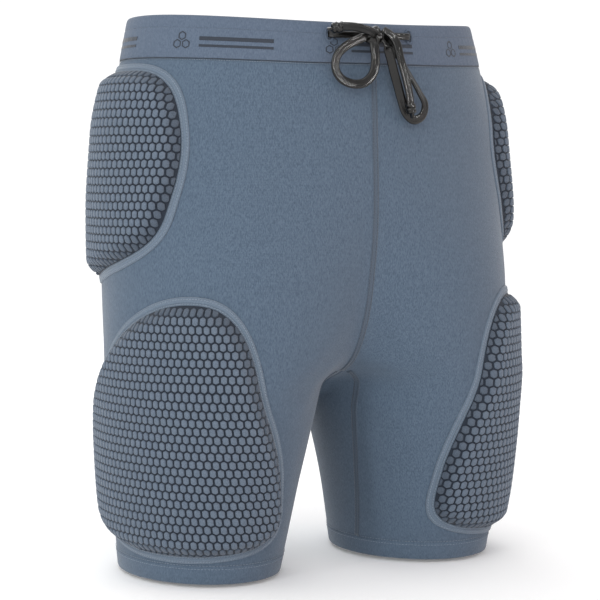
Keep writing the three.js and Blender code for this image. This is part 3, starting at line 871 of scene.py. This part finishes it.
def buttonhole(name, x):
    """Sewn eyelet the cord leaves by: a bead of close stitches round a flat oval."""
    p = across(-1, x, LACE_HEIGHT)
    n = unit(across(-1, x, LACE_HEIGHT, 1.0) - p)
    t = unit(np.array([-n[1], n[0], 0]))
    up = np.cross(n, t)
    line = oval(p + n, t * 3.2, up * 5.2, 120)
    out = unit(line - (p + n))
    beads = stamped(STITCH, even(line, count=34, closed=True), even(out, count=34, closed=True),
                    np.repeat(n[None], 34, 0), (1.9, 0.62, 0.8))
    q = turns(10)[:, None]
    rim = line[:, None] + out[:, None] * 0.75 * np.cos(q) + n * (0.42 * np.sin(q) - 0.15)
    fill = [oval(p + n * o, t * 2.7 * k, up * 4.7 * k, 120)
            for o, k in ((0.5, 1.0), (0.52, 0.6), (0.52, 0.1), (0.44, 0.1), (0.44, 1.0))]
    parts = joined([beads, looped(rim), capped(fill)])
    fitted(build(f"{name}_sewn", *parts, [BAND_KNIT], closed=False, recalc=True), "seam_thread", name)


buttonhole("right_buttonhole", -BUTTONHOLE_X)
buttonhole("left_buttonhole", BUTTONHOLE_X)

# the run inside the tunnel keeps its CAD shape: it is hidden between band and lining
hidden_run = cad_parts["drawcord_tunnel_run"]
hidden_run.data.materials.clear()
hidden_run.data.materials.append(CORD)

# --- pads ---
HIP = dict(height=298, above=95, below=74.5, half=89, back=0, top=(1.65, 0.26), bottom=(4.5, 1.2),
           middle=lambda h: 2.8 + 40 * np.maximum(0, (393 - h) / 181) ** 1.7, base=2.0)
THIGH = dict(height=80, above=139, below=63.4, half=94.7, back=24, top=(1.47, 0.44), bottom=(5.15, 0.49),
             middle=lambda h: -56.8 - 26.7 * np.maximum(0, (h - 130) / 90) ** 1.5, base=2.0)
TAIL = dict(height=318, above=56, below=70, half=50, back=0, top=(3, 0.5), bottom=(2.2, 0.8),
            middle=lambda h: 0.0 * h, base=3.4)
CELL_WIDE = 5.1          # moulded cells, across
CELL_ROW = 6.15          # and from row to row
CELL_PEAK = 1.5          # height of the pointed top and bottom of a cell
CELL_POINTS = 18
CELL_LEAST = 4.0         # a cell cut smaller than this area is left out
GROOVE_HALF = 0.62
BEVEL = 12.0


def outline(shape, count):
    """Points round a pad's outer edge: arc from the outermost line, and height."""
    q = (np.arange(4000) + 0.5) * 2 * math.pi / 4000
    up, u = np.sin(q) > 0, np.abs(np.sin(q))
    h = shape["height"] + np.where(up, shape["above"], -shape["below"]) * u
    a, b = (np.where(up, *pair) for pair in zip(shape["top"], shape["bottom"]))
    reach = shape["half"] * (1 - u ** a) ** b
    s = shape["middle"](h) + np.where(np.cos(q) > 0, reach + shape["back"] * (1 - u * u), -reach)
    return even(np.stack([s, h], -1), count=count, closed=True)


def inset_line(line, centre, by, share=1.0):
    """The line moved in by a distance, then drawn in to a share of its size."""
    far = np.linalg.norm(line - centre, axis=1, keepdims=True)
    return centre + (line - centre) * (1 - by / far) * share


def inside_of(points, polygon):
    """Whether each point is inside the polygon."""
    x, y = points[:, None, 0], points[:, None, 1]
    a, b = polygon[None], np.roll(polygon, -1, 0)[None]
    crossing = (a[..., 1] > y) != (b[..., 1] > y)
    dy = np.where(np.abs(b[..., 1] - a[..., 1]) < 1e-12, 1e-12, b[..., 1] - a[..., 1])
    at = a[..., 0] + (y - a[..., 1]) / dy * (b[..., 0] - a[..., 0])
    return ((x < at) & crossing).sum(1) % 2 == 1


class Field:
    """Distance in from a pad cover's edge, on a 1 mm grid."""

    def __init__(self, edge):
        margin, batch = 9, 4000
        self.low = edge.min(0) - margin
        size = np.ceil(edge.max(0) + margin - self.low).astype(int) + 1
        points = np.stack(np.meshgrid(*map(np.arange, size), indexing="ij"), -1).reshape(-1, 2) + self.low
        best = np.full(len(points), 1e9)
        for a, d in zip(edge, np.roll(edge, -1, 0) - edge):
            t = np.clip(((points - a) @ d) / (d @ d), 0, 1)
            best = np.minimum(best, np.linalg.norm(points - a - t[:, None] * d, axis=1))
        inside = np.concatenate([inside_of(points[k:k + batch], edge) for k in range(0, len(points), batch)])
        self.table = (best * np.where(inside, 1, -1)).reshape(size)

    def __call__(self, s, h):
        return lookup(self.table, s - self.low[0], h - self.low[1])


def dome(d, base):
    """Height of the cover's ground by distance in from its edge: steep bevel, low crown."""
    rise = (11.0 - base) * np.sin(np.clip(d / BEVEL, 0, 1) * math.pi / 2) ** 1.15
    dip = 0.36 * np.exp(-np.maximum(d, 0) / 1.2)
    return base + 0.1 + rise - dip + 1.3 * (1 - np.exp(-np.maximum(d - BEVEL, 0) / 28))


def cell_shape():
    """A tall hexagon with rounded corners about its own middle."""
    w, flat = CELL_WIDE / 2, (CELL_ROW - CELL_PEAK) / 2
    wide, up = w - GROOVE_HALF, flat + CELL_PEAK - GROOVE_HALF * math.hypot(w, CELL_PEAK) / w
    shoulder = up - wide * CELL_PEAK / w
    corners = np.array([(0, up), (wide, shoulder), (wide, -shoulder),
                        (0, -up), (-wide, -shoulder), (-wide, shoulder)])
    points = []
    for before, at, after in zip(np.roll(corners, 1, 0), corners, np.roll(corners, -1, 0)):
        a, b = at + unit(before - at) * 0.55, at + unit(after - at) * 0.55
        points += [a, (a + 2 * at + b) / 4, b]
    return np.array(points)


def clipped(poly, values):
    """The part of a polygon where values are over zero, or None if that is too small for a cell."""
    kept = []
    for a, b, va, vb in zip(poly, np.roll(poly, -1, 0), values, np.roll(values, -1)):
        if va > 0:
            kept.append(a)
        if (va > 0) != (vb > 0):
            kept.append(a + (b - a) * va / (va - vb))
    if len(kept) < 3:
        return None
    x, y = np.array(kept).T
    area = abs((x * np.roll(y, -1) - np.roll(x, -1) * y).sum()) / 2
    return even(kept, count=CELL_POINTS, closed=True) if area >= CELL_LEAST else None


def cell_outlines(field, low, high):
    """Outlines of a pad's cells, whole ones and then those cut by its edge."""
    shape = cell_shape()
    full, cut = [], []
    for row, h in enumerate(np.arange(low[1] - CELL_ROW, high[1] + CELL_ROW, CELL_ROW)):
        for s in np.arange(low[0] - CELL_WIDE, high[0] + CELL_WIDE, CELL_WIDE):
            poly = shape + (s + (row % 2) * CELL_WIDE / 2, h)
            values = field(*poly.T) - 0.55
            part = None if values.min() > 0 else clipped(poly, values)
            if values.min() > 0:
                full.append(poly)
            elif part is not None:
                cut.append(part)
    return np.array(full + cut)


def pad(name, shape, spot, side=None):
    """One pad: foam insert, moulded cover with its cells, edge strip and two rows of stitches."""
    centre = np.array([float(shape["middle"](shape["height"])), shape["height"]])
    rim = outline(shape, 300)
    edge = inset_line(rim, centre, EDGE_STRIP)
    field = Field(edge)
    base = shape["base"]

    def crown(s, h):
        """Points on the cover's ground."""
        return spot(s, h, dome(field(s, h), base))

    def lifted(flat, lift):
        """Points lifted squarely off the cover's ground."""
        s, h = np.moveaxis(flat, -1, 0)
        n = unit(np.cross(crown(s + 0.4, h) - crown(s - 0.4, h), crown(s, h + 0.4) - crown(s, h - 0.4)))
        away = spot(s, h, 5.0) - spot(s, h, 0.0)
        return crown(s, h) + n * np.sign((n * away).sum(-1, keepdims=True)) * lift

    # ground of the cover: a closed skin, its underside on the cloth
    under = ((1.5, 0.12), (1.5, 0.6), (1.5, 1.0), (-0.6, 1.0))
    over = [(k, 1.0) for k in (-0.6, 0.2, 1.2, 2.4, 3.8, 5.4, 7.2, 9.2, 11.4, 13.8)]
    over += [(13.8, k) for k in (0.93, 0.85, 0.76, 0.66, 0.56, 0.45, 0.34, 0.23, 0.12)]
    rings = [spot(*inset_line(edge, centre, *step).T, base - 0.5) for step in under]
    cover = outward(*capped(rings + [crown(*inset_line(edge, centre, *step).T) for step in over]))
    # raised cells: rings drawn in as they rise, and a point in the middle
    cells = cell_outlines(field, edge.min(0), edge.max(0))
    mid = cells.mean(1, keepdims=True)
    rise = ((1.0, -0.35), (1.0, 0.42), (0.955, 0.78), (0.84, 1.0), (0.5, 1.08))
    layers = [lifted(mid + (cells - mid) * share, lift) for share, lift in rise]
    tip = lifted(mid, 1.1)
    layers = np.concatenate([np.stack(layers, 1).reshape(len(cells), -1, 3), tip], 1)
    n, last = CELL_POINTS, (len(rise) - 1) * CELL_POINTS
    k = np.arange(n)
    quads = grid_faces(len(rise), n, wrap_cols=True)
    tris = np.stack([last + k, last + (k + 1) % n, np.full(n, last + n)], -1)
    a, b, c = layers[0, tris[0]]
    if np.cross(b - a, c - a) @ (tip[0, 0] - layers[0, :n].mean(0)) < 0:
        quads, tris = quads[:, ::-1], tris[:, ::-1]
    shift = (np.arange(len(cells)) * (last + n + 1))[:, None, None]
    count = len(cells)
    index = np.repeat([0, 1, 0, 1], [len(cover[1]), count * len(quads), len(cover[2]), count * len(tris)])
    # distance of each cell in from the edge, which the cell paint uses to darken cells near the edge as
    # painted shade
    from_edge = np.repeat(field(*mid[:, 0].T), last + n + 1)
    rim_shade_distance = np.concatenate([np.full(len(cover[0]), 20.0), from_edge])
    skin = build(f"{name}_shell", *joined([cover, (layers, quads + shift, tris + shift)]), [GROOVE, CELL],
                 index=index, facts={"rim": rim_shade_distance}, closed=False)
    fitted(skin, "pad_cover", f"{name}_cover", side=side)

    # foam insert under it
    under = ((4.0, 0.12), (4.0, 0.5), (4.0, 0.85), (3.2, 1.0))
    over = [(k, 1.0) for k in (3.0, 3.4, 4.6, 6.4, 8.4, 10.8, 13)]
    over += [(13, k) for k in (0.85, 0.65, 0.45, 0.25, 0.1)]
    rings = [spot(*inset_line(edge, centre, *step).T, base) for step in under]
    for step in over:
        s, h = inset_line(edge, centre, *step).T
        rings.append(spot(s, h, np.maximum(dome(field(s, h) - 1.2, base) - 1.1, base + 0.4)))
    foam = build(f"{name}_insert", *capped(rings), mats=[FOAM])
    fitted(foam, "pad_foam", f"{name}_foam", side=side)

    # edge strip: two ridges with a stitched valley in each flank
    raised = (base - 2.0) * 0.6
    profile = ((0.2, -0.3), (0.0, 0.35), (0.3, 1.0), (0.8, 1.45), (1.3, 1.35), (1.7, 1.1), (2.1, 1.35),
               (2.7, 1.75), (3.5, 1.9), (4.3, 1.75), (4.8, 1.4), (5.2, 1.15), (5.6, 1.45), (6.1, 1.85),
               (6.7, 1.8), (7.0, 1.3), (7.0, 0.6), (6.6, -0.3))
    rings = [spot(*inset_line(rim, centre, by).T, out + (raised if out > 0 else 0)) for by, out in profile]
    strip = build(f"{name}_binding", *looped(rings), mats=[STRIP_KNIT])
    fitted(strip, "pad_edge", f"{name}_edge_strip", side=side)
    rows = []
    for by in (1.7, 5.2):
        line = inset_line(rim, centre, by).T
        p = spot(*line, 1.25 + raised)
        normals = unit(spot(*line, 2.25 + raised) - p)
        rows.append(stitches(p, normals, 2.3, 1.9, 0.62, 0.02, closed=True, slant=0.25))
    thread(f"{name}_stitches", rows, side=side)


for side in (-1, 1):
    for name, shape in (("hip", HIP), ("thigh", THIGH)):
        pad(f"{SIDE[side]}_{name}", shape, lambda s, h, out: place(side, h, walk(h, s), out), side)
pad("tailbone", TAIL, lambda s, h, out: across(1, s, h, out))

# --- care label, blank ---


def care_label():
    """Small satin tag inside the centre back, its top sewn under the band's lining."""
    h = np.concatenate([np.linspace(363, 409, 24), [410.6, 411.4]])[:, None]
    x = np.linspace(-15, 15, 20)
    curl = np.linspace(0, 5, len(h))[:, None]
    out = -7.0 - 0.15 * np.sin(curl) - np.where(np.arange(len(h))[:, None] < 3, 0.6, 0)
    layers = [across(1, x, h, out - thick) for thick in (0.0, 0.35)]
    obj = build("care_label_satin", layers, two_layers(len(h), len(x)), mats=[LABEL])
    fitted(obj, "care_label", "care_label")


care_label()

# --- floor and light ---
paint = Paint("floor_paint", 0.9, 0.0, 0.1)
paint.colour(paint.mix(paint.noise((3, 3, 3)), (0.95, 0.95, 0.95), (0.97, 0.97, 0.97)))
paint.shader.inputs["Emission Color"].default_value = (1, 1, 1, 1)
paint.shader.inputs["Emission Strength"].default_value = 0.1
FLOOR = -LENGTH - 2.5
REACH = 2000
floor = build("floor", [(-REACH, -REACH, FLOOR), (REACH, -REACH, FLOOR), (REACH, REACH, FLOOR),
                        (-REACH, REACH, FLOOR)], [(0, 1, 2, 3)], mats=[paint.material], closed=False)

world = bpy.data.worlds.new("studio")
world.use_nodes = True
sky = world.node_tree
sky.nodes["Background"].inputs["Color"].default_value = (1.0, 1.0, 1.0, 1)
# a little less light comes from in front of the wearer's left side
way = node(sky, "TexCoord", {}).outputs["Generated"]
toward = node(sky, "VectorMath", {0: way, 1: (0.78, -0.62, 0.0)}, operation="DOT_PRODUCT").outputs["Value"]
fall = node(sky, "MapRange", {"Value": toward, "From Min": 0.05, "From Max": 0.9,
                              "To Min": 1.08, "To Max": 0.66}).outputs[0]
# the camera itself sees plain white behind the object
camera_ray = node(sky, "LightPath", {}).outputs["Is Camera Ray"]
strength = node(sky, "Mix", {"Factor": camera_ray, "A": fall, "B": 1.1}).outputs["Result"]
sky.links.new(strength, sky.nodes["Background"].inputs["Strength"])
bpy.context.scene.world = world


def light(name, place_at, aim, size, power, colour=(1, 1, 1), diffuse=True, gloss=True):
    data = bpy.data.lights.new(name, "AREA")
    data.shape = "RECTANGLE"
    data.size, data.size_y = size
    data.energy = power
    data.color = colour
    obj = bpy.data.objects.new(name, data)
    look(obj, place_at, aim)
    obj.visible_diffuse = diffuse
    obj.visible_glossy = gloss


light("key", (-1.15, -1.9, 0.95), (0, 0, -0.2), (1.3, 1.3), 10.8)
light("strip", (-1.75, -0.9, 0.15), (0, 0, -0.15), (0.12, 1.0), 7)
light("fill", (1.5, -1.3, 0.0), (0, 0, -0.2), (0.9, 0.9), 4, colour=(1.0, 0.42, 0.36), gloss=False)
light("glint_right", (0.85, -1.45, 0.0), (0, -0.1, -0.05), (0.05, 0.35), 7, diffuse=False)
light("glint_top", (0.25, -0.75, 1.25), (0, -0.1, -0.05), (0.25, 0.05), 7, diffuse=False)
light("back", (0.3, 1.9, 1.0), (0, 0, -0.2), (1.5, 1.2), 9)
bpy.context.scene.view_settings.view_transform = "Standard"
